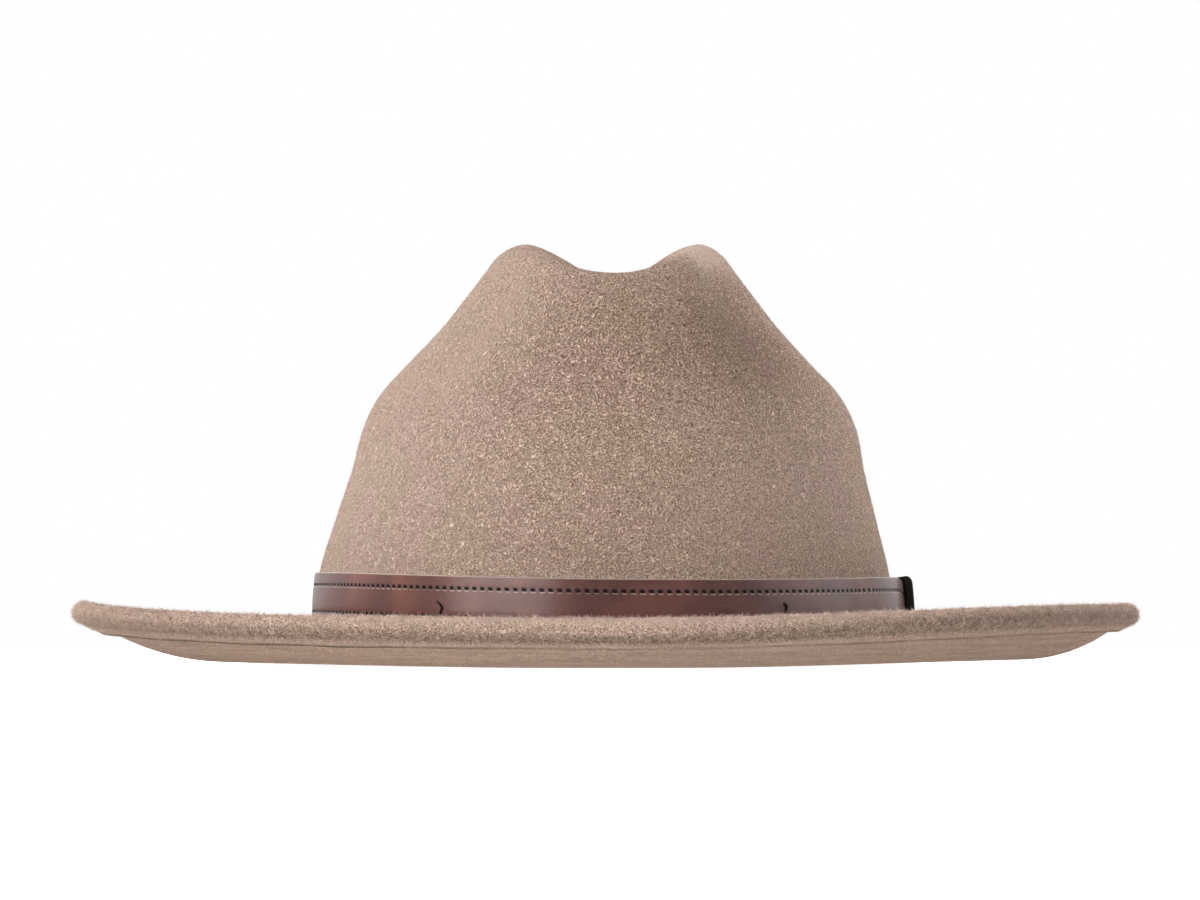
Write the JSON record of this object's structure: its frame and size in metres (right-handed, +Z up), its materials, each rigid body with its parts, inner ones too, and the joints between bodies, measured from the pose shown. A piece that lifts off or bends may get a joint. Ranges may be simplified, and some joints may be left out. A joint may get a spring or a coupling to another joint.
{
  "type": "hat",
  "caption": "Tan felt hat with a pinched, creased crown and a wide rolled brim, trimmed with a stitched dark brown leather band held in a keeper.",
  "frame": {"origin": "middle of the hat's outline, on the plane that the brim rests on", "axes": "+Z up through the crown, -Y towards the front of the hat, +X towards the wearer's left"},
  "size_m": [0.3127, 0.3499, 0.1236],
  "materials": {
    "felt": "thick heathered wool felt with a short fuzzy nap, matte",
    "band_leather": "smooth dark red brown leather with a soft gloss and two stitched lines",
    "keeper_leather": "near black brown leather, semi matte"
  },
  "bodies": {
    "root": {"felt_body": "felt", "leather_band": "band_leather", "band_keeper": "keeper_leather"}
  },
  "joints": []
}
